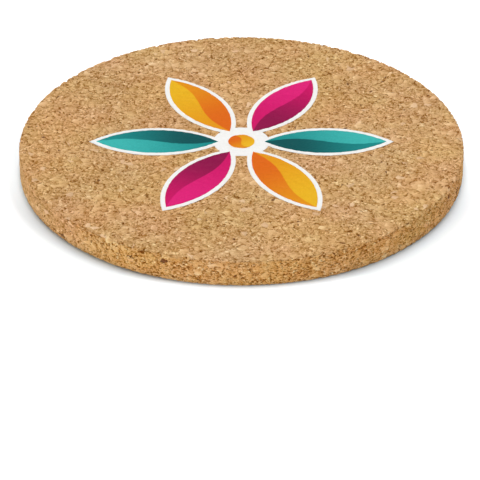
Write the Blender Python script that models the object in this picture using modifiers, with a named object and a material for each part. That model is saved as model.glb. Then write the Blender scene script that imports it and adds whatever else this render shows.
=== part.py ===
"""Round printed cork coaster, modelled at its real size in metres, with +Z up.

The body is one die-cut disc of agglomerated cork. A transfer print lies on its top face: a white
base film, cut to the outline of a six-petal rosette, and a patch of coloured ink for every petal
and for the dot in the middle. The origin is on the table, under the middle of the disc.
"""

import math

import bpy
from mathutils import Color, Vector

MM = 0.001

# Cork disc
DISC_DIAMETER = 95 * MM
DISC_THICKNESS = 6 * MM
RIM_RADIUS = 0.4 * MM  # rounding that the die and the sanding leave on both rims
RIM_STEPS = 3
DISC_SIDES = 160

# Print, a compass-drawn rosette
PETAL_INKS = ("teal", "magenta", "amber")  # in turn round the rosette
PETALS_OF_EACH_INK = 2
PETAL_ROOT = 5 * MM  # from the middle of the disc to the inner tip of a petal's ink
PETAL_LENGTH = 26 * MM
PETAL_WIDTH = 9.5 * MM
DOT_RADIUS = 2.8 * MM
KEYLINE = 1 * MM  # white border that the base film leaves round the ink
HUB_RADIUS = 6 * MM  # round middle of the base film, which joins its lobes
ARC_STEPS = 16

# Layers
FILM_THICKNESS = 0.08 * MM
INK_THICKNESS = 0.05 * MM
SEAT_GAP = 0.02 * MM  # air left between layers that lie on each other
FILM_LEVEL = DISC_THICKNESS + SEAT_GAP
INK_LEVEL = FILM_LEVEL + FILM_THICKNESS + SEAT_GAP

# Worked out from the values above
PETAL_COUNT = len(PETAL_INKS) * PETALS_OF_EACH_INK
PETAL_PITCH = 2 * math.pi / PETAL_COUNT
PETAL_MIDDLE = PETAL_ROOT + PETAL_LENGTH / 2
PETAL_ARC_RADIUS = (PETAL_LENGTH**2 + PETAL_WIDTH**2) / (4 * PETAL_WIDTH)
PETAL_ARC_OFFSET = PETAL_ARC_RADIUS - PETAL_WIDTH / 2  # from a petal's axis to its arcs' centres

# Colours as a screen shows them, and roughness
FINISHES = {
    "cork": ((0.784, 0.616, 0.416), 0.9),
    "white": ((0.961, 0.957, 0.949), 0.45),
    "teal": ((0.220, 0.700, 0.690), 0.4),
    "magenta": ((0.870, 0.100, 0.465), 0.4),
    "amber": ((0.910, 0.690, 0.150), 0.4),
}


def clear_scene():
    for obj in list(bpy.data.objects):
        bpy.data.objects.remove(obj, do_unlink=True)


def make_material(name):
    screen_colour, roughness = FINISHES[name]
    material = bpy.data.materials.new(name)
    material.use_nodes = True
    shader = material.node_tree.nodes["Principled BSDF"]
    linear = Color(screen_colour).from_srgb_to_scene_linear()
    shader.inputs["Base Color"].default_value = (*linear, 1)
    shader.inputs["Roughness"].default_value = roughness
    shader.inputs["Metallic"].default_value = 0
    return material


def add_to_coaster(obj, material_name, coaster):
    """Give a piece its material and hang it on the coaster's empty."""
    obj.data.materials.append(bpy.data.materials[material_name])
    for collection in obj.users_collection:
        collection.objects.unlink(obj)
    coaster.users_collection[0].objects.link(obj)
    obj.parent = coaster
    return obj


def make_cork_disc(coaster):
    bpy.ops.mesh.primitive_cylinder_add(
        vertices=DISC_SIDES,
        radius=DISC_DIAMETER / 2,
        depth=DISC_THICKNESS,
        location=(0, 0, DISC_THICKNESS / 2),
    )
    disc = bpy.context.object
    disc.name = "cork_disc"
    rims = disc.modifiers.new("rounded_rims", "BEVEL")
    rims.limit_method = "ANGLE"
    rims.width = RIM_RADIUS
    rims.segments = RIM_STEPS
    disc.data.shade_smooth()
    disc.data.set_sharp_from_angle(angle=math.radians(40))
    return add_to_coaster(disc, "cork", coaster)


def arc_handles(start, end, centre):
    """The two Bezier handles of the shorter circular arc from start to end."""
    sweep = (end - centre).angle_signed(start - centre)
    reach = 4 / 3 * math.tan(sweep / 4)
    return (
        start + reach * (start - centre).orthogonal(),
        end - reach * (end - centre).orthogonal(),
    )


def make_flat_piece(name, corners, centres, level, thickness):
    """A flat piece at a level above the table. An arc about centres[i] leaves corners[i]."""
    curve = bpy.data.curves.new(name, "CURVE")
    curve.dimensions = "2D"
    curve.fill_mode = "BOTH"
    curve.extrude = thickness / 2
    curve.resolution_u = ARC_STEPS
    spline = curve.splines.new("BEZIER")
    spline.bezier_points.add(len(corners) - 1)
    spline.use_cyclic_u = True
    for i, corner in enumerate(corners):
        point = spline.bezier_points[i]
        following = spline.bezier_points[(i + 1) % len(corners)]
        point.handle_left_type = point.handle_right_type = "FREE"
        leaving, arriving = arc_handles(corner, corners[(i + 1) % len(corners)], centres[i])
        point.co = corner.to_3d()
        point.handle_right = leaving.to_3d()
        following.handle_left = arriving.to_3d()
    piece = bpy.data.objects.new(name, curve)
    piece.location.z = level + thickness / 2
    bpy.context.scene.collection.objects.link(piece)
    return piece


def turned(vector, angle):
    """A 2D vector turned counter-clockwise."""
    cosine, sine = math.cos(angle), math.sin(angle)
    return Vector((cosine * vector.x - sine * vector.y, sine * vector.x + cosine * vector.y))


def make_petal(name, ink, angle, coaster):
    """A lens of ink along +X between two equal arcs, then turned about the middle of the disc."""
    root = Vector((PETAL_ROOT, 0))
    tip = Vector((PETAL_ROOT + PETAL_LENGTH, 0))
    below, above = (Vector((PETAL_MIDDLE, side * PETAL_ARC_OFFSET)) for side in (-1, 1))
    petal = make_flat_piece(name, [root, tip], [above, below], INK_LEVEL, INK_THICKNESS)
    petal.rotation_euler.z = angle
    return add_to_coaster(petal, ink, coaster)


def make_centre_dot(coaster):
    right, left = Vector((DOT_RADIUS, 0)), Vector((-DOT_RADIUS, 0))
    top, bottom = Vector((0, DOT_RADIUS)), Vector((0, -DOT_RADIUS))
    middle = [Vector((0, 0))] * 4
    dot = make_flat_piece("amber_dot", [right, top, left, bottom], middle, INK_LEVEL, INK_THICKNESS)
    return add_to_coaster(dot, "amber", coaster)


def lobe_outline():
    """Corners and arc centres of one lobe of the base film along +X, from the hub and back to it.

    A lobe's sides keep the keyline's width outside the petal's arcs, so they share their centres.
    """
    side_radius = PETAL_ARC_RADIUS + KEYLINE
    half_length = math.sqrt(side_radius**2 - PETAL_ARC_OFFSET**2)
    tip = Vector((PETAL_MIDDLE + half_length, 0))
    below, above = (Vector((PETAL_MIDDLE, side * PETAL_ARC_OFFSET)) for side in (-1, 1))
    # Where a side's circle meets the hub's circle, from the triangle of the two centres
    reach = above.length
    along = (reach**2 + HUB_RADIUS**2 - side_radius**2) / (2 * reach)
    across = math.sqrt(HUB_RADIUS**2 - along**2)
    towards = above / reach
    right_root = along * towards + across * Vector((towards.y, -towards.x))
    left_root = Vector((right_root.x, -right_root.y))
    return [right_root, tip, left_root], [above, below, Vector((0, 0))]


def make_base_film(coaster):
    lobe_corners, lobe_centres = lobe_outline()
    turns = [i * PETAL_PITCH for i in range(PETAL_COUNT)]
    corners = [turned(corner, angle) for angle in turns for corner in lobe_corners]
    centres = [turned(centre, angle) for angle in turns for centre in lobe_centres]
    film = make_flat_piece("white_base_film", corners, centres, FILM_LEVEL, FILM_THICKNESS)
    return add_to_coaster(film, "white", coaster)


def main():
    clear_scene()
    collection = bpy.data.collections.new("cork_coaster")
    bpy.context.scene.collection.children.link(collection)
    coaster = bpy.data.objects.new("coaster", None)
    collection.objects.link(coaster)
    for name in FINISHES:
        make_material(name)
    make_cork_disc(coaster)
    make_base_film(coaster)
    for i in range(PETAL_COUNT):
        ink = PETAL_INKS[i % len(PETAL_INKS)]
        number = 1 + i // len(PETAL_INKS)
        make_petal(f"{ink}_petal_{number}", ink, i * PETAL_PITCH, coaster)
    make_centre_dot(coaster)


main()
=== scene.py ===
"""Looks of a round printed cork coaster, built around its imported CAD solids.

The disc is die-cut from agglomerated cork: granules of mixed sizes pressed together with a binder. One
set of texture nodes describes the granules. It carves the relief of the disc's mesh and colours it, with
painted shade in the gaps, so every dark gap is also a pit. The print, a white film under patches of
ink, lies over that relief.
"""

import math

import bmesh
import bpy
import numpy as np
from mathutils import Color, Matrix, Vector


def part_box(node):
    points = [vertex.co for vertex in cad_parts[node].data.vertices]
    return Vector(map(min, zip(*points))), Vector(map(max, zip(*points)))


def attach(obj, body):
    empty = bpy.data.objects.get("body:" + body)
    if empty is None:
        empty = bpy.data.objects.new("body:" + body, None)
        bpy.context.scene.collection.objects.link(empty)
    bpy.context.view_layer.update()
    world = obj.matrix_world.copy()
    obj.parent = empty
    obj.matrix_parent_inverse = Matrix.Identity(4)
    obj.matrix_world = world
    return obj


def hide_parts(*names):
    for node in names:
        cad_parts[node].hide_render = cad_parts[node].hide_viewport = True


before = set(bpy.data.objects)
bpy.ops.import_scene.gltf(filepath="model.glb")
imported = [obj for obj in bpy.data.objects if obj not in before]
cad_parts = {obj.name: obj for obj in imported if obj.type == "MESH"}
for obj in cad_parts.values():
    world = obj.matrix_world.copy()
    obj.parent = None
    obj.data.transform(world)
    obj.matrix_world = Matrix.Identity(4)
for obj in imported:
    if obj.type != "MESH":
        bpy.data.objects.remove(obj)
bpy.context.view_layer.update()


def screen_colour(red, green, blue):
    """A colour given as a screen shows it, from 0 to 255, as the shaders take it."""
    linear = Color((red / 255, green / 255, blue / 255)).from_srgb_to_scene_linear()
    return (*linear, 1.0)


MM = 0.001
BODY = "root"

# Disc, from its CAD solid
DISC_LOW, DISC_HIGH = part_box("cork_disc")
DISC_RADIUS = (DISC_HIGH.x - DISC_LOW.x) / 2
DISC_THICKNESS = DISC_HIGH.z - DISC_LOW.z
RIM_RADIUS = 0.4 * MM
FOOT_RADIUS = DISC_RADIUS - RIM_RADIUS  # of the circle in which it meets the floor

# Mesh of the disc
TOP_STEP = 0.40 * MM
SIDE_STEP = 0.26 * MM
BASE_STEP = 0.66 * MM
RIM_STEP = 0.16 * MM
JITTER = 0.35  # share of a step that a vertex may stray along its ring
MESH_SEED = 7

# Map for baking the disc's textures: the top and the base as circles, the side in strips
MAP_NAME = "OFBake"
MAP_TOP = ((0.385, 0.615), 0.38)  # middle and radius, in shares of the map's width
MAP_BASE = ((0.855, 0.365), 0.14)
MAP_STRIPS = 3
MAP_STRIP_LENGTH = 0.97
MAP_MARGIN = 0.01

# Noises: width of their waves in millimetres, detail and roughness
STRAY_NOISE = (0.7, 3, 0.6)  # bends the outlines of the granules
OPEN_NOISE = (0.62, 2, 0.6)  # opens and closes the gaps between them
SIDE_NOISE = (1.2, 2, 0.5)  # frays the edge between the faces and the die-cut side
GRAIN_NOISE = (0.16, 3, 0.65)  # fine grain of the cork
PATCH_NOISE = (14, 2, 0.5)  # slow changes of its tone and tint
UNEVEN_NOISE = (1.4, 2, 0.5)  # how evenly the faces are sanded
SKIN_NOISE = (0.3, 3, 0.6)  # skin of the print
HALF = (0.5, 0.5, 0.5)  # middle of the random colours that noises and cells give

# Granules, in millimetres
FLAKE = 1.5  # clusters of small granules, or single large ones
WHOLE_FLAKES = 0.13  # share of the clusters that are one large granule
ROSE_FLAKES = 0.08  # share of the large ones that are pale and pink
CHIP = 0.46  # the small ones
CHIP_STRETCH = 2.2  # how much longer than wide they are
PRESSED = 1.6  # how much wider than high all granules are, because the sheet is pressed
STRAY = 0.5  # how far their outlines are bent
BARK_CHIPS = (0.002, 0.5)  # share of the small ones that are bark, in general and in a cluster of bark
BARK_CLUSTERS = 0.012  # share of the clusters in the side that are bark
SPLINTER = 0.33  # splinters that each granule is torn into
SPECK = 0.46  # cells that may hold a dark crumb or a pale splinter
SPECKS = 0.04  # share of them that hold a crumb
GLINTS = 0.06  # share of them that hold a splinter
SPECK_CORE = (0.2, 0.45)  # where it begins to fade and ends, in cells from its middle

# Gaps between the granules
GAP = (0.03, 0.15)  # width in millimetres where they are pressed close, and where they stand open
OPEN_RANGE = (0.5, 0.64)  # of the noise, from closed to open
CLOSED_GAP = 0.15  # how dark, in painted shade, and how deep a closed gap is, beside an open one
SIDE_GAPS = 2.0  # how much wider the gaps are on the die-cut side

# Die-cut side, in millimetres
SIDE_START = (-0.4, 0.8)  # past the rim, where its look begins and where it is full
SIDE_STRAY = 0.9  # how far that edge strays
LEFT_LIGHT_RANGE = (-46, -20)  # along X, from where the left of the side has painted light to where it has none
LEFT_LIGHT_EVENS = 0.28  # share of the left side's contrast that this painted light takes away

# Relief
PIT_DEPTH = 0.22 * MM
RIM_PIT_DEPTH = 0.32 * MM
UNEVENNESS = 0.08 * MM
UNEVEN_RANGE = (0.35, 0.75)  # of the noise, from the highest granules to the lowest
CRUMBS = [((1.1, 1, 0.5), 0.3 * MM), ((0.45, 1, 0.5), 0.2 * MM)]  # noise and depth of missing crumbs
CRUMB_RANGE = (0.53, 0.63)  # of the noise, from whole to missing
RIM_REACH = 1.1 * MM  # how far from a rim the cork crumbles
SIDE_CRUMBS = 0.6  # how deep the side crumbles, beside its upper rim
LOWER_CRUMBS = 0.25  # and its lower rim
PRINT_DIP = 0.04 * MM  # how far the print sinks over a gap
PRINT_STEP = 0.4 * MM  # width of its faces
WELD = 1e-6  # metres
FLAT = math.radians(1)  # faces that meet at less than this are joined

# What makes the cork light, from -1, as dark as a gap, to 1, as pale as the palest granule
TONE_SHARE = 0.39
SIDE_TONE_SHARE = 0.4  # on the die-cut side
TONE_CURVE = 0.6  # how much more the darkest and palest granules stand out than the others
FLAKE_TONES = (0.35, 1.0)  # the large ones are pale rather than dark
FLAKE_SHARE = 0.09  # and lighter than the others
CLUSTER_SHARE = 0.05  # what the small ones of a cluster have in common
SPLINTER_SHARE = 0.22
GRAIN_SHARE = 0.315
SIDE_GRAIN_SHARE = 0.46
GRAIN_RANGE = (0.25, 0.75)  # of the noise, from dark to light
PATCH_SHARE = 0.06
PATCH_RANGE = (0.3, 0.7)
# painted shade across each granule, as if it were tilted
TILT_SHADE_SHARE = 0.42
# painted shade in the gaps between the granules, beside the pits that the relief carves
GAP_SHADE_SHARE = 0.46
SPECK_SHARE = 0.6
GLINT_SHARE = 0.42
ROUGHNESS = (0.5, 1.5)  # how strongly the small ones differ in the smoothest and the roughest cluster

# Colours of the cork
CORK_TONES = [  # from the darkest gap to the palest granule
    screen_colour(110, 58, 8),
    screen_colour(174, 123, 62),
    screen_colour(216, 172, 120),
    screen_colour(236, 199, 149),
    screen_colour(251, 225, 178),
]
OLIVE_TO_PINK = [(0.982, 1.016, 0.974, 1.0), (1.03, 0.967, 1.008, 1.0)]  # tints that multiply these
YELLOW_TO_GREY = [(1.012, 1.0, 0.882, 1.0), (0.998, 1.0, 1.055, 1.0)]
PATCH_TINT = 0.75  # how much of its tint a granule has from the patch round it, and not for itself
PATCH_TINT_RANGE = (0.35, 0.65)  # of the noise, from the one tint to the other
SIDE_TINT_AND_PAINTED_LIGHT = [  # tints of the cut side's darkest and palest tones: its own richer colour, which lacks the dust of the sanded faces, with painted light and shade, the palest brightened where the lamps light the side too little and the darkest deepened as light bounced in its pits would
    (1.35, 1.07, 0.64, 1.0),
    (1.035, 1.085, 1.065, 1.0),
]
LEFT_SIDE_PAINTED_LIGHT = (1.12, 1.12, 1.13, 1.0)  # painted light on the left of the side: a tint that brightens it as more light from the left would
ROSE = screen_colour(240, 206, 170)
ROSE_COVER = 0.5  # how far this colour covers a granule's own
BARK = screen_colour(88, 32, 20)
BARK_COVER = 0.8
DEEP_BROWN = screen_colour(86, 30, 0)
SIDE_GAP_BROWN = 0.35  # painted shade: how far a gap on the side goes to the deepest brown

# Surface of the cork
CORK_ROUGHNESS = 0.85
CORK_SPECULAR = 0.1
CORK_BUMP = (0.8, 0.1 * MM)  # strength and height
GAP_BUMP = 1.2  # depth of a gap, in shares of that height
GRAIN_BUMP = 0.5
GRAIN_BUMP_RANGE = (0.2, 0.8)  # of the noise, from the lowest to the highest grain

# Print
FILM_WHITE = screen_colour(252, 251, 249)
FILM_SHADE = screen_colour(247, 246, 243)
INK_TONES = {  # pale, full and deep, as a screen shows them
    "teal": ((64, 190, 184), (22, 146, 144), (2, 84, 86)),
    "magenta": ((232, 30, 124), (214, 8, 104), (146, 8, 74)),
    "amber": ((240, 188, 30), (234, 154, 16), (228, 106, 14)),
}
RIB_WAVE = 0.22  # how far the line between an ink's two tones swings, in half widths of a petal
RIB_EDGE = 0.03  # half the width of that line
DOT_TURN = math.radians(-60)  # heading of the tones in the round patch, which points nowhere itself
BRIGHT_FADE = (0.0, 0.9)  # along a petal, where its bright side goes from the full tone to the pale one
DARK_FADE = (0.2, 1.0)  # and its dark side from the deep tone to the full one
INK_MOTTLE = 0.12  # how far the ink goes to its deep tone where its skin is thickest
SKIN_RANGE = (0.3, 0.7)  # of the noise, from the thinnest to the thickest skin
SKIN_BUMP = (0.25, 0.02 * MM)
FILM_ROUGHNESS = 0.6
INK_ROUGHNESS = 0.55
PRINT_SPECULAR = 0.2

# Camera, fitted to the outline of the disc in a square frame
LENS = 229.2  # millimetres on a 36 mm sensor
SENSOR = 36
CAMERA_DISTANCE = 0.6565  # from the origin
CAMERA_ELEVATION = math.radians(30.76)
CAMERA_TURN = math.radians(0.030)  # how far to the left of the origin the camera looks
CAMERA_PITCH = math.radians(1.388)  # how much lower than the origin the camera looks

# Floor of white paper, which glows a little for the camera, the less the nearer to the disc
FLOOR_SIZE = 12  # metres
FLOOR_CELLS = 8
PAPER = (0.92, 0.945, 0.965, 1.0)
PAPER_IN_SHADE = (0.735, 0.825, 0.89, 1.0)  # cooler, against the warm light that the cork throws on it, and darker: a painted shadow round the disc's foot
PAPER_ROUGHNESS = 0.9
SHADE_REACH = 5 * MM
FLOOR_GLOW = [(0.8 * MM, 0.08), (12 * MM, 0.15)]  # how far from the disc it is full, and its level
AT_ONCE = 0.01 * MM
MORE_GLOW = [  # how far from the disc's foot it is full, its level, and the stretch of Y where it comes in
    (AT_ONCE, 0.22, (-24 * MM, -3 * MM)),
    (AT_ONCE, 0.17, (-42 * MM, -48 * MM)),
    (1.5 * MM, 0.1, (-42 * MM, -48 * MM)),
]

# Light
WORLD_LEVEL = 0.05
LAMP_DISTANCE = 3  # metres
LAMPS = {  # azimuth and elevation in degrees, width in metres, and level
    "top_soft_box": (-174, 77.5, 1.2, 0.56),
    "left_soft_box": (-93, 54, 0.8, 0.13),
    "right_soft_box": (87, 58, 0.8, 0.3),
    "left_fill": (-40, 8, 0.8, 0.4),
    "right_fill": (40, 8, 0.8, 0.08),
}
WHITE = (1, 1, 1, 1)


class Nodes:
    """Adds nodes to a shader or geometry tree. An input is a plain value or another node's socket."""

    def __init__(self, tree):
        self.tree = tree

    def feed(self, socket, value):
        if isinstance(value, bpy.types.NodeSocket):
            self.tree.links.new(value, socket)
        else:
            socket.default_value = value

    def add(self, kind, inputs=None, **settings):
        node = self.tree.nodes.new(kind)
        for name, value in settings.items():
            setattr(node, name, value)
        for name, value in (inputs or {}).items():
            self.feed(node.inputs[name], value)
        return node

    def math(self, operation, *values):
        node = self.add("ShaderNodeMath", dict(enumerate(values)), operation=operation)
        return node.outputs[0]

    def vector(self, operation, *values):
        node = self.add("ShaderNodeVectorMath", dict(enumerate(values)), operation=operation)
        return node.outputs["Value" if operation in ("LENGTH", "DOT_PRODUCT") else "Vector"]

    def scaled(self, vector, factor):
        node = self.add("ShaderNodeVectorMath", {0: vector, "Scale": factor}, operation="SCALE")
        return node.outputs[0]

    def split(self, vector):
        return self.add("ShaderNodeSeparateXYZ", {0: vector}).outputs

    def hypotenuse(self, first, second):
        """The distance across two distances at a right angle."""
        corner = self.add("ShaderNodeCombineXYZ", {0: first, 1: second})
        return self.vector("LENGTH", corner.outputs[0])

    def ramp(self, value, low, high, start=0.0, end=1.0, shape="SMOOTHSTEP"):
        """A ramp, a smooth step unless said otherwise, from start, at low, to end, at high."""
        inputs = {"Value": value, "From Min": low, "From Max": high, "To Min": start, "To Max": end}
        return self.add("ShaderNodeMapRange", inputs, interpolation_type=shape).outputs[0]

    def spread(self, value, low, high, start=0.0, end=1.0):
        """A straight, clamped ramp from start, at low, to end, at high."""
        return self.ramp(value, low, high, start, end, "LINEAR")

    def mix(self, factor, first, second):
        return self.add("ShaderNodeMix", {0: factor, 2: first, 3: second}).outputs[0]

    def blend(self, factor, first, second, mode="MIX"):
        node = self.add("ShaderNodeMix", {0: factor, 6: first, 7: second}, data_type="RGBA")
        node.blend_type = mode
        return node.outputs[2]

    def colours(self, factor, stops):
        """Evenly spaced colours, blended along a factor from 0 to 1."""
        node = self.add("ShaderNodeValToRGB", {0: factor})
        elements = node.color_ramp.elements
        while len(elements) < len(stops):
            elements.new(1.0)
        for i, stop in enumerate(stops):
            elements[i].position = i / (len(stops) - 1)
            elements[i].color = stop
        return node.outputs[0]

    def noise(self, place, width, detail, roughness):
        """Noise with waves about so wide: a value, which comes first, and a colour."""
        inputs = {"Vector": place, "Scale": 1 / width, "Detail": detail, "Roughness": roughness}
        return self.add("ShaderNodeTexNoise", inputs).outputs

    def cells(self, place, width, feature="F1"):
        inputs = {"Vector": place, "Scale": 1 / width}
        return self.add("ShaderNodeTexVoronoi", inputs, feature=feature).outputs

    def attribute(self, name):
        return self.add("ShaderNodeAttribute", attribute_name=name).outputs["Vector"]

    def bump(self, height, strength, distance):
        inputs = {"Strength": strength, "Distance": distance, "Height": height}
        return self.add("ShaderNodeBump", inputs).outputs[0]


def stretched(nodes, place, heading, factor):
    """A place drawn in along a heading, so that what has its shape there comes out longer that way."""
    along = nodes.vector("DOT_PRODUCT", place, heading)
    pulled = nodes.scaled(heading, nodes.math("MULTIPLY", along, 1 - 1 / factor))
    return nodes.vector("SUBTRACT", place, pulled)


def granule(nodes, place, size, openness, side):
    """One size of granules: the gaps round them, three random values, a heading, and painted shade across
    each, as if it were tilted.
    """
    cell = nodes.cells(place, size)
    edge = nodes.cells(place, size, "DISTANCE_TO_EDGE")["Distance"]
    width = nodes.mix(openness, *(width / size for width in GAP))
    width = nodes.math("MULTIPLY", width, nodes.mix(side, 1.0, SIDE_GAPS))
    lean = nodes.vector("SUBTRACT", cell["Color"], HALF)
    inside = nodes.scaled(nodes.vector("SUBTRACT", place, cell["Position"]), 2 / size)
    return {
        "gap": nodes.ramp(edge, 0.0, width, 1.0, 0.0),
        "random": nodes.split(cell["Color"]),
        "heading": nodes.vector("NORMALIZE", lean),
        # painted shade: each granule lighter on one side and darker on the other
        "tilt_shade": nodes.vector("DOT_PRODUCT", inside, lean),
    }


def specks(nodes, place):
    """Two fields: 1 inside the few dark crumbs, and 1 inside the few pale splinters."""
    cell = nodes.cells(place, SPECK)
    random = nodes.split(cell["Color"])[0]
    dark = nodes.math("LESS_THAN", random, SPECKS)
    pale = nodes.math("GREATER_THAN", random, 1 - GLINTS)
    core = nodes.ramp(cell["Distance"], *SPECK_CORE, 1.0, 0.0)
    return nodes.math("MULTIPLY", dark, core), nodes.math("MULTIPLY", pale, core)


def from_surfaces(nodes, rest):
    """How far a place lies inside the disc's side, and inside the nearer one of its faces."""
    axes = nodes.split(rest)
    inward = nodes.math("SUBTRACT", DISC_RADIUS, nodes.hypotenuse(axes[0], axes[1]))
    from_face = nodes.math("MINIMUM", axes[2], nodes.math("SUBTRACT", DISC_THICKNESS, axes[2]))
    return inward, from_face


def side_share(nodes, rest, place):
    """0 on the sanded faces and 1 on the die-cut side, with a ragged edge between them."""
    inward, from_face = from_surfaces(nodes, rest)
    past_rim = nodes.math("DIVIDE", nodes.math("SUBTRACT", from_face, inward), MM)
    stray = nodes.spread(nodes.noise(place, *SIDE_NOISE)[0], 0, 1, -SIDE_STRAY, SIDE_STRAY)
    return nodes.ramp(nodes.math("ADD", past_rim, stray), *SIDE_START)


def rim_share(nodes, rest):
    """1 on the two rims, falling to 0 a little way from them."""
    return nodes.ramp(nodes.hypotenuse(*from_surfaces(nodes, rest)), RIM_RADIUS / 2, RIM_REACH, 1.0, 0.0)


def granule_fields(nodes, rest):
    """The granules at a rest position: the gaps and crumbs between them, and each one's tone and hue."""
    place = nodes.vector("MULTIPLY", rest, (1 / MM, 1 / MM, PRESSED / MM))
    stray = nodes.vector("SUBTRACT", nodes.noise(place, *STRAY_NOISE)["Color"], HALF)
    warped = nodes.vector("ADD", place, nodes.scaled(stray, STRAY))
    openness = nodes.ramp(nodes.noise(place, *OPEN_NOISE)[0], *OPEN_RANGE)
    side = side_share(nodes, rest, place)
    flake = granule(nodes, warped, FLAKE, openness, side)
    drawn = stretched(nodes, warped, flake["heading"], CHIP_STRETCH)
    chip = granule(nodes, drawn, CHIP, openness, side)
    whole = nodes.math("LESS_THAN", flake["random"][0], WHOLE_FLAKES)
    gap = nodes.math("MAXIMUM", flake["gap"], nodes.mix(whole, chip["gap"], 0.0))
    pink = nodes.math("GREATER_THAN", flake["random"][2], 1 - ROSE_FLAKES)
    barky = nodes.math("GREATER_THAN", flake["random"][1], 1 - BARK_CLUSTERS)
    bark_share = nodes.mix(nodes.math("MULTIPLY", barky, side), *BARK_CHIPS)
    bark = nodes.math("LESS_THAN", chip["random"][2], bark_share)
    speck, glint = specks(nodes, drawn)
    return {
        "place": place,
        "side": side,
        "warped": warped,
        "drawn": drawn,
        "whole": whole,
        "rose": nodes.math("MULTIPLY", whole, pink),
        "bark": nodes.mix(whole, bark, 0.0),
        "gap": nodes.math("MULTIPLY", gap, nodes.mix(openness, CLOSED_GAP, 1.0)),
        "speck": nodes.mix(whole, speck, 0.0),
        "glint": glint,
        "tone": nodes.mix(whole, chip["random"][0], nodes.spread(flake["random"][1], 0, 1, *FLAKE_TONES)),
        "cluster": flake["random"][0],
        "pinkness": flake["random"][1],
        "greyness": flake["random"][2],
        "tilt_shade": nodes.mix(whole, chip["tilt_shade"], flake["tilt_shade"]),
    }


def left_light_share(nodes, fields):
    """1 on the left of the die-cut side, where light is painted, and 0 elsewhere."""
    left = nodes.ramp(nodes.split(fields["place"])[0], *LEFT_LIGHT_RANGE, 1.0, 0.0)
    return nodes.math("MULTIPLY", fields["side"], left)


def cork_light(nodes, fields, grain, patch, left_light):
    """How light the cork is: the sum of what its granules, their parts and the gaps add to it."""
    side = fields["side"]
    tone = nodes.spread(fields["tone"], 0, 1, -1, 1)
    curve = nodes.math("MULTIPLY_ADD", nodes.math("ABSOLUTE", tone), TONE_CURVE, 1 - TONE_CURVE)
    tone = nodes.math("MULTIPLY", tone, curve)
    splinter = nodes.split(nodes.cells(fields["drawn"], SPLINTER)["Color"])[0]
    splinter = nodes.spread(splinter, 0, 1, -1, 1)
    grain = nodes.spread(grain, *GRAIN_RANGE, -1, 1)
    rough = nodes.mix(fields["whole"], nodes.spread(fields["cluster"], 0, 1, *ROUGHNESS), 1.0)
    grain_share = nodes.mix(side, GRAIN_SHARE, SIDE_GRAIN_SHARE)
    light = 0.0
    for field, share in (
        (nodes.math("MULTIPLY", tone, rough), nodes.mix(side, TONE_SHARE, SIDE_TONE_SHARE)),
        (nodes.spread(fields["cluster"], 0, 1, -1, 1), CLUSTER_SHARE),
        (fields["whole"], FLAKE_SHARE),
        (nodes.math("MULTIPLY", splinter, rough), SPLINTER_SHARE),
        (nodes.math("MULTIPLY", grain, rough), grain_share),
        (nodes.spread(patch, *PATCH_RANGE, -1, 1), PATCH_SHARE),
        # painted shade across each granule
        (fields["tilt_shade"], TILT_SHADE_SHARE),
        # painted shade in the gaps
        (fields["gap"], -GAP_SHADE_SHARE),
        (fields["speck"], -SPECK_SHARE),
        (fields["glint"], GLINT_SHARE),
    ):
        light = nodes.math("MULTIPLY_ADD", field, share, light)
    # painted light evens out the contrast on the left of the side
    return nodes.math("MULTIPLY", light, nodes.mix(left_light, 1.0, 1 - LEFT_LIGHT_EVENS))


def cork_colour(nodes, fields, light, patches, left_light):
    """The colour for a lightness, tinted by patch and granule, and changed on some granules and the side."""
    side = fields["side"]
    shade = nodes.spread(light, -1, 1)
    colour = nodes.colours(shade, CORK_TONES)
    for own, patch, tints in (
        (fields["pinkness"], patches[1], OLIVE_TO_PINK),
        (fields["greyness"], patches[2], YELLOW_TO_GREY),
    ):
        share = nodes.mix(PATCH_TINT, own, nodes.spread(patch, *PATCH_TINT_RANGE))
        colour = nodes.blend(1.0, colour, nodes.blend(share, *tints), "MULTIPLY")
    for granules, cover, other in ((fields["rose"], ROSE_COVER, ROSE), (fields["bark"], BARK_COVER, BARK)):
        colour = nodes.blend(nodes.math("MULTIPLY", granules, cover), colour, other)
    # painted light on the left of the side, in place of the cut side's tint
    side_tint_and_painted_light = nodes.blend(left_light, nodes.blend(shade, *SIDE_TINT_AND_PAINTED_LIGHT), LEFT_SIDE_PAINTED_LIGHT)
    # the cut side's own tint, with painted light and shade
    colour = nodes.blend(side, colour, side_tint_and_painted_light, "MULTIPLY")
    # painted shade: gaps on the side, apart from its left with painted light, go to deep brown
    side_gap_shade = nodes.math("MULTIPLY", nodes.math("SUBTRACT", side, left_light), fields["gap"])
    return nodes.blend(nodes.math("MULTIPLY", side_gap_shade, SIDE_GAP_BROWN), colour, DEEP_BROWN)


def start_material(name, roughness, specular):
    """A new material, its nodes, and the inputs of its shader."""
    material = bpy.data.materials.new(name)
    material.use_nodes = True
    shader = material.node_tree.nodes["Principled BSDF"].inputs
    shader["Roughness"].default_value = roughness
    shader["Specular IOR Level"].default_value = specular
    return material, Nodes(material.node_tree), shader


def make_cork_material():
    material, nodes, shader = start_material("pressed_cork", CORK_ROUGHNESS, CORK_SPECULAR)
    fields = granule_fields(nodes, nodes.attribute("rest"))
    grain = nodes.noise(fields["place"], *GRAIN_NOISE)[0]
    patches = nodes.split(nodes.noise(fields["place"], *PATCH_NOISE)["Color"])
    left_light = left_light_share(nodes, fields)
    light = cork_light(nodes, fields, grain, patches[0], left_light)
    nodes.feed(shader["Base Color"], cork_colour(nodes, fields, light, patches, left_light))
    grain_height = nodes.spread(grain, *GRAIN_BUMP_RANGE, 0, GRAIN_BUMP)
    height = nodes.math("MULTIPLY_ADD", fields["gap"], -GAP_BUMP, grain_height)
    nodes.feed(shader["Normal"], nodes.bump(height, *CORK_BUMP))
    return material


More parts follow.
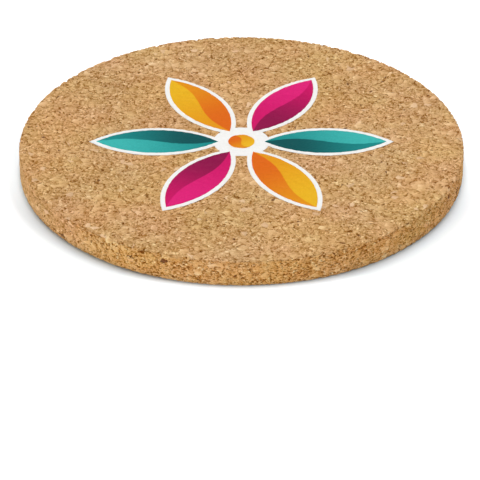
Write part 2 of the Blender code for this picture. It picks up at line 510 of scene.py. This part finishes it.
def ring_stations():
    """Radius, height and vertex spacing of each ring, from the middle of the top to that of the base."""
    crown = DISC_THICKNESS - RIM_RADIUS
    bend_count = math.ceil(RIM_RADIUS * math.pi / 2 / RIM_STEP)
    stations = []

    def run(start, end, step):
        count = round(math.dist(start, end) / step)
        for i in range(count):
            share = i / count
            stations.append((*(a + (b - a) * share for a, b in zip(start, end, strict=True)), step))

    def bend(middle, start):
        """A quarter circle down round a rim, from an angle above the level."""
        for i in range(bend_count):
            turn = start - math.pi / 2 * i / bend_count
            radius = FOOT_RADIUS + RIM_RADIUS * math.cos(turn)
            stations.append((radius, middle + RIM_RADIUS * math.sin(turn), SIDE_STEP))

    run((0, DISC_THICKNESS), (FOOT_RADIUS, DISC_THICKNESS), TOP_STEP)
    bend(crown, math.pi / 2)
    run((DISC_RADIUS, crown), (DISC_RADIUS, RIM_RADIUS), SIDE_STEP)
    bend(RIM_RADIUS, 0)
    run((FOOT_RADIUS, 0), (0, 0), BASE_STEP)
    stations.append((0, 0, BASE_STEP))
    return stations


def bridge(first, second):
    """Triangles between two rings of vertex numbers, walking round both at the same pace."""
    triangles = []
    first_steps = len(first) if len(first) > 1 else 0
    second_steps = len(second) if len(second) > 1 else 0
    i = j = 0
    while i < first_steps or j < second_steps:
        on_second = j < second_steps and (i == first_steps or (j + 1) * first_steps <= (i + 1) * second_steps)
        if on_second:
            triangles.append((first[i % len(first)], second[j], second[(j + 1) % len(second)]))
            j += 1
        else:
            triangles.append((first[i], second[j % len(second)], first[(i + 1) % len(first)]))
            i += 1
    return triangles


def vertex_places(mesh):
    places = np.empty(len(mesh.vertices) * 3, np.float32)
    mesh.vertices.foreach_get("co", places)
    return places.reshape(-1, 3)


def keep_rest(mesh):
    """Keeps where the vertices lie before the relief moves them, for the textures."""
    places = vertex_places(mesh).ravel()
    mesh.attributes.new("rest", "FLOAT_VECTOR", "POINT").data.foreach_set("vector", places)


def side_spots(corners, middles):
    """Places on the map for triangles of the side, which is cut into strips that lie above each other."""
    turns = np.arctan2(middles[..., 1], middles[..., 0])
    strips = np.floor((turns / (2 * math.pi) + 0.5) * MAP_STRIPS).clip(0, MAP_STRIPS - 1)
    starts = (strips / MAP_STRIPS - 0.5) * 2 * math.pi
    ahead = np.arctan2(corners[..., 1], corners[..., 0]) - starts
    ahead = (ahead + math.pi / MAP_STRIPS) % (2 * math.pi) - math.pi / MAP_STRIPS
    scale = MAP_STRIP_LENGTH * MAP_STRIPS / (2 * math.pi * DISC_RADIUS)
    pitch = DISC_THICKNESS * scale + MAP_MARGIN
    along = MAP_MARGIN + ahead * DISC_RADIUS * scale
    across = MAP_MARGIN + strips * pitch + corners[..., 2] * scale
    return np.stack((along, across), axis=-1)


def keep_bake_map(mesh):
    """Lays the triangles out for baking by their rest position, so that no pit folds over on the map."""
    vertices = np.empty(len(mesh.loops), np.int32)
    mesh.loops.foreach_get("vertex_index", vertices)
    corners = vertex_places(mesh)[vertices.reshape(-1, 3)]
    middles = corners.mean(axis=1, keepdims=True)
    spots = np.empty((*corners.shape[:2], 2), np.float32)
    on_top = middles[:, 0, 2] > DISC_THICKNESS / 2
    for chosen, facing, (middle, radius) in ((on_top, (1, 1), MAP_TOP), (~on_top, (-1, 1), MAP_BASE)):
        spots[chosen] = middle + corners[chosen, :, :2] * facing * radius / DISC_RADIUS
    halfway_round_rim = FOOT_RADIUS + RIM_RADIUS * math.sqrt(0.5)
    on_side = np.hypot(middles[:, 0, 0], middles[:, 0, 1]) > halfway_round_rim
    spots[on_side] = side_spots(corners[on_side], middles[on_side])
    mesh.uv_layers.new(name=MAP_NAME).data.foreach_set("uv", spots.ravel())


def make_disc_mesh():
    """A closed disc of small, even triangles."""
    random = np.random.default_rng(MESH_SEED)
    points, triangles, last = [], [], None
    for radius, height, step in ring_stations():
        count = max(1, round(2 * math.pi * radius / step))
        turns = (np.arange(count) + JITTER * random.uniform(-0.5, 0.5, count)) * 2 * math.pi / count
        ring = list(range(len(points), len(points) + count))
        points += [(radius * math.cos(turn), radius * math.sin(turn), height) for turn in turns]
        if last is not None:
            triangles += bridge(last, ring)
        last = ring
    mesh = bpy.data.meshes.new("cork_body")
    mesh.from_pydata(points, [], triangles)
    mesh.shade_smooth()
    keep_rest(mesh)
    keep_bake_map(mesh)
    return mesh


def relief_tree(name, build):
    """A geometry node tree that moves points by the offset that build(nodes, rest) gives."""
    tree = bpy.data.node_groups.new(name, "GeometryNodeTree")
    tree.interface.new_socket("Geometry", in_out="INPUT", socket_type="NodeSocketGeometry")
    tree.interface.new_socket("Geometry", in_out="OUTPUT", socket_type="NodeSocketGeometry")
    nodes = Nodes(tree)
    source = nodes.add("NodeGroupInput")
    result = nodes.add("NodeGroupOutput")
    rest = nodes.add("GeometryNodeInputNamedAttribute", {"Name": "rest"}, data_type="FLOAT_VECTOR")
    offset = build(nodes, rest.outputs["Attribute"])
    moved = nodes.add("GeometryNodeSetPosition", {"Geometry": source.outputs[0], "Offset": offset})
    nodes.feed(result.inputs[0], moved.outputs[0])
    return tree


def unevenness(nodes, place):
    """How far the sanded face lies below its highest granules."""
    return nodes.ramp(nodes.noise(place, *UNEVEN_NOISE)[0], *UNEVEN_RANGE, 0.0, UNEVENNESS)


def cork_relief(nodes, rest):
    """Pits, missing crumbs and a slight unevenness, all cut into the disc and never standing proud of it."""
    fields = granule_fields(nodes, rest)
    rim = rim_share(nodes, rest)
    pit_depth = nodes.mix(rim, PIT_DEPTH, RIM_PIT_DEPTH)
    depth = nodes.math("MULTIPLY_ADD", fields["gap"], pit_depth, unevenness(nodes, fields["place"]))
    height = nodes.split(rest)[2]
    crumbling = nodes.math("MAXIMUM", rim, nodes.math("MULTIPLY", fields["side"], SIDE_CRUMBS))
    crumbling = nodes.math("MULTIPLY", crumbling, nodes.ramp(height, 0.0, DISC_THICKNESS, LOWER_CRUMBS, 1.0))
    for noise, deepest in CRUMBS:
        missing = nodes.ramp(nodes.noise(fields["warped"], *noise)[0], *CRUMB_RANGE, 0.0, deepest)
        depth = nodes.math("MULTIPLY_ADD", missing, crumbling, depth)
    normal = nodes.add("GeometryNodeInputNormal").outputs[0]
    return nodes.scaled(normal, nodes.math("MULTIPLY", depth, -1.0))


def print_relief(nodes, rest):
    """The print follows the unevenness of the cork under it, and dips a little over the pits."""
    fields = granule_fields(nodes, rest)
    depth = nodes.math("MULTIPLY_ADD", fields["gap"], PRINT_DIP, unevenness(nodes, fields["place"]))
    return nodes.scaled((0.0, 0.0, 1.0), nodes.math("MULTIPLY", depth, -1.0))


def carve(piece, tree):
    """Replaces a piece's mesh by the one that the node tree makes of it."""
    modifier = piece.modifiers.new("relief", "NODES")
    modifier.node_group = tree
    graph = bpy.context.evaluated_depsgraph_get()
    evaluated = piece.evaluated_get(graph)
    mesh = bpy.data.meshes.new_from_object(evaluated, preserve_all_data_layers=True, depsgraph=graph)
    piece.modifiers.clear()
    piece.data = mesh


def add_piece(name, mesh, material, node):
    piece = bpy.data.objects.new(name, mesh)
    bpy.context.scene.collection.objects.link(piece)
    piece.data.materials.clear()
    piece.data.materials.append(material)
    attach(piece, BODY)
    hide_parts(node)
    return piece


def make_cork_body():
    body = add_piece("cork_body", make_disc_mesh(), make_cork_material(), "cork_disc")
    carve(body, relief_tree("cork_relief", cork_relief))


def cut_to_grid(mesh):
    """Welds a plate and cuts it along a grid, so that its faces are small enough to drape."""
    plate = bmesh.new()
    plate.from_mesh(mesh)
    bmesh.ops.remove_doubles(plate, verts=plate.verts, dist=WELD)
    bmesh.ops.dissolve_limit(plate, angle_limit=FLAT, verts=plate.verts, edges=plate.edges)
    places = vertex_places(mesh)
    for axis, across in ((0, Vector((1, 0, 0))), (1, Vector((0, 1, 0)))):
        low, high = places[:, axis].min(), places[:, axis].max()
        for level in np.arange(low + PRINT_STEP / 2, high, PRINT_STEP):
            parts = [*plate.verts, *plate.edges, *plate.faces]
            bmesh.ops.bisect_plane(plate, geom=parts, plane_co=across * level, plane_no=across, dist=WELD)
    bmesh.ops.triangulate(plate, faces=plate.faces)
    plate.to_mesh(mesh)
    plate.free()


def keep_petal_axes(mesh, outline):
    """Keeps how far along its petal, from 0 to 1, and across it, from -1 to 1, each vertex lies."""
    middle = outline.mean(axis=0)
    off_axis = math.hypot(middle[0], middle[1]) > WELD
    turn = math.atan2(middle[1], middle[0]) if off_axis else DOT_TURN
    along_axis = np.array((math.cos(turn), math.sin(turn), 0))
    across_axis = np.array((-math.sin(turn), math.cos(turn), 0))
    root, tip = (outline @ along_axis).min(), (outline @ along_axis).max()
    places = vertex_places(mesh)
    along = (places @ along_axis - root) / (tip - root)
    across = (places @ across_axis) / (outline @ across_axis).max()
    petal = np.stack((along, across, np.zeros_like(along)), axis=1).astype(np.float32)
    mesh.attributes.new("petal", "FLOAT_VECTOR", "POINT").data.foreach_set("vector", petal.ravel())


def make_print_layer(node, material, relief):
    """A layer of the print, from the outline of its CAD plate, draped over the cork."""
    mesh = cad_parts[node].data.copy()
    outline = vertex_places(mesh)
    cut_to_grid(mesh)
    keep_rest(mesh)
    keep_petal_axes(mesh, outline)
    layer = add_piece(f"{node}_print", mesh, material, node)
    carve(layer, relief)


def start_print_material(name, roughness):
    """A new material with the skin of the print, its nodes, the inputs of its shader, and the skin."""
    material, nodes, shader = start_material(name, roughness, PRINT_SPECULAR)
    place = nodes.scaled(nodes.attribute("rest"), 1 / MM)
    skin = nodes.noise(place, *SKIN_NOISE)[0]
    nodes.feed(shader["Normal"], nodes.bump(skin, *SKIN_BUMP))
    return material, nodes, shader, skin


def make_film_material():
    material, nodes, shader, skin = start_print_material("white_print_film", FILM_ROUGHNESS)
    colour = nodes.blend(nodes.ramp(skin, *SKIN_RANGE), FILM_SHADE, FILM_WHITE)
    nodes.feed(shader["Base Color"], colour)
    return material


def make_ink_material(ink):
    """Ink in two tones on either side of a waved rib, each a little uneven as screen ink is."""
    pale, full, deep = (screen_colour(*tone) for tone in INK_TONES[ink])
    material, nodes, shader, skin = start_print_material(f"{ink}_print_ink", INK_ROUGHNESS)
    along, across, _ = nodes.split(nodes.attribute("petal"))
    wave = nodes.math("SINE", nodes.math("MULTIPLY", along, 2 * math.pi))
    beyond_rib = nodes.math("MULTIPLY_ADD", wave, -RIB_WAVE, across)
    shaded = nodes.ramp(beyond_rib, -RIB_EDGE, RIB_EDGE, 1.0, 0.0)
    bright_side = nodes.blend(nodes.ramp(along, *BRIGHT_FADE), full, pale)
    dark_side = nodes.blend(nodes.ramp(along, *DARK_FADE), deep, full)
    colour = nodes.blend(shaded, bright_side, dark_side)
    colour = nodes.blend(nodes.ramp(skin, *SKIN_RANGE, 0.0, INK_MOTTLE), colour, deep)
    nodes.feed(shader["Base Color"], colour)
    return material


def make_print():
    relief = relief_tree("print_relief", print_relief)
    make_print_layer("white_base_film", make_film_material(), relief)
    for ink in INK_TONES:
        material = make_ink_material(ink)
        for node in sorted(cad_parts):
            if node.startswith(ink):
                make_print_layer(node, material, relief)


def make_camera():
    data = bpy.data.cameras.new("camera")
    data.lens = LENS
    data.sensor_width = SENSOR
    camera = bpy.data.objects.new("camera", data)
    bpy.context.scene.collection.objects.link(camera)
    camera.location = (
        0,
        -CAMERA_DISTANCE * math.cos(CAMERA_ELEVATION),
        CAMERA_DISTANCE * math.sin(CAMERA_ELEVATION),
    )
    camera.rotation_euler = (math.pi / 2 - CAMERA_ELEVATION - CAMERA_PITCH, 0, CAMERA_TURN)
    bpy.context.scene.camera = camera


def make_paper_material():
    material, nodes, shader = start_material("white_paper", PAPER_ROUGHNESS, 0)
    axes = nodes.split(nodes.add("ShaderNodeNewGeometry").outputs["Position"])
    radius = nodes.hypotenuse(axes[0], axes[1])
    away = nodes.ramp(radius, DISC_RADIUS, DISC_RADIUS + SHADE_REACH)
    nodes.feed(shader["Base Color"], nodes.blend(away, PAPER_IN_SHADE, PAPER))
    glow = 0.0
    for reach, level in FLOOR_GLOW:
        glow = nodes.math("ADD", glow, nodes.ramp(radius, DISC_RADIUS, DISC_RADIUS + reach, 0.0, level))
    for reach, level, stretch in MORE_GLOW:
        around = nodes.ramp(radius, FOOT_RADIUS, FOOT_RADIUS + reach, 0.0, level)
        glow = nodes.math("MULTIPLY_ADD", around, nodes.ramp(axes[1], *stretch), glow)
    path = nodes.add("ShaderNodeLightPath").outputs
    seen = nodes.math("MAXIMUM", path["Is Camera Ray"], path["Is Glossy Ray"])
    seen = nodes.math("MAXIMUM", seen, path["Is Transmission Ray"])
    shader["Emission Color"].default_value = WHITE
    nodes.feed(shader["Emission Strength"], nodes.math("MULTIPLY", seen, glow))
    return material


def make_floor():
    bpy.ops.mesh.primitive_grid_add(x_subdivisions=FLOOR_CELLS, y_subdivisions=FLOOR_CELLS, size=FLOOR_SIZE)
    floor = bpy.context.object
    floor.name = "floor"
    floor.data.materials.append(make_paper_material())


def make_lamp(name, azimuth, elevation, size, level):
    """A square soft box that looks at the disc. Azimuth 0 is on the camera's side and 90 on the right.

    At level 1 a white sheet that faces it is as bright as white.
    """
    data = bpy.data.lights.new(name, "AREA")
    data.size = size
    data.energy = level * (math.pi * LAMP_DISTANCE) ** 2
    lamp = bpy.data.objects.new(name, data)
    bpy.context.scene.collection.objects.link(lamp)
    turn, rise = math.radians(azimuth), math.radians(elevation)
    towards = Vector((math.sin(turn) * math.cos(rise), -math.cos(turn) * math.cos(rise), math.sin(rise)))
    lamp.location = LAMP_DISTANCE * towards
    lamp.rotation_euler = towards.to_track_quat("Z", "Y").to_euler()


def make_light():
    world = bpy.data.worlds.new("studio")
    bpy.context.scene.world = world
    world.use_nodes = True
    background = world.node_tree.nodes["Background"]
    background.inputs["Color"].default_value = WHITE
    background.inputs["Strength"].default_value = WORLD_LEVEL
    for name, settings in LAMPS.items():
        make_lamp(name, *settings)


def set_view():
    bpy.context.scene.view_settings.view_transform = "Standard"


make_camera()
make_floor()
make_light()
make_cork_body()
make_print()
set_view()
